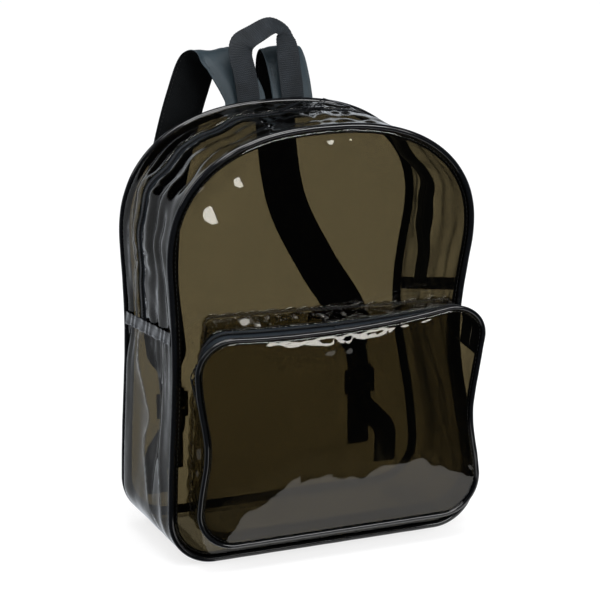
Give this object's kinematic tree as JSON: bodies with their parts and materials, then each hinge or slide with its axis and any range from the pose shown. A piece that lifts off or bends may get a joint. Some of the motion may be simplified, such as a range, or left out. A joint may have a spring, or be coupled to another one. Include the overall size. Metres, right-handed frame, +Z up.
{
  "type": "clear stadium backpack",
  "caption": "Arch-topped backpack of smoke-tinted see-through vinyl with black piping, a zipped front pocket, a webbing haul loop and padded shoulder straps.",
  "frame": {"origin": "middle of the flat underside, on the ground", "axes": "+Z up, -Y out of the front with the pocket, +X to the right of someone facing the front"},
  "size_m": [0.3343, 0.2422, 0.5084],
  "materials": {
    "clear_vinyl": "smoke-tinted clear PVC film, glossy",
    "black_vinyl": "glossy black vinyl piping and binding",
    "zipper_tape": "woven polyester zipper tape",
    "zipper_coil": "nylon coil",
    "black_webbing": "woven polypropylene webbing",
    "strap_cloth": "slate nylon face over foam, black mesh under",
    "black_metal": "black painted zinc",
    "black_plastic": "moulded acetal"
  },
  "bodies": {
    "root": {"front_panel": "clear_vinyl", "back_panel": "clear_vinyl", "zip_gusset_front": "clear_vinyl", "zip_gusset_back": "clear_vinyl", "lower_gusset": "clear_vinyl", "pocket_front": "clear_vinyl", "pocket_gusset": "clear_vinyl", "pocket_zip_gusset": "clear_vinyl", "pocket_seam_edge": "clear_vinyl", "front_piping": "black_vinyl", "back_piping": "black_vinyl", "side_binding_left": "black_vinyl", "side_binding_right": "black_vinyl", "pocket_piping": "black_vinyl", "main_zip_tape_front": "zipper_tape", "main_zip_tape_back": "zipper_tape", "pocket_zip_tape_back": "zipper_tape", "pocket_zip_tape_front": "zipper_tape", "main_zip_coil": "zipper_coil", "pocket_zip_coil": "zipper_coil", "haul_loop": "black_webbing", "strap_webbing_left": "black_webbing", "strap_webbing_right": "black_webbing", "shoulder_strap_left": "strap_cloth", "shoulder_strap_right": "strap_cloth", "main_slider_left": "black_metal", "main_pull_left": "black_metal", "main_slider_right": "black_metal", "main_pull_right": "black_metal", "pocket_slider": "black_metal", "pocket_pull": "black_metal", "ladder_lock_left": "black_plastic", "ladder_lock_right": "black_plastic"}
  },
  "joints": []
}
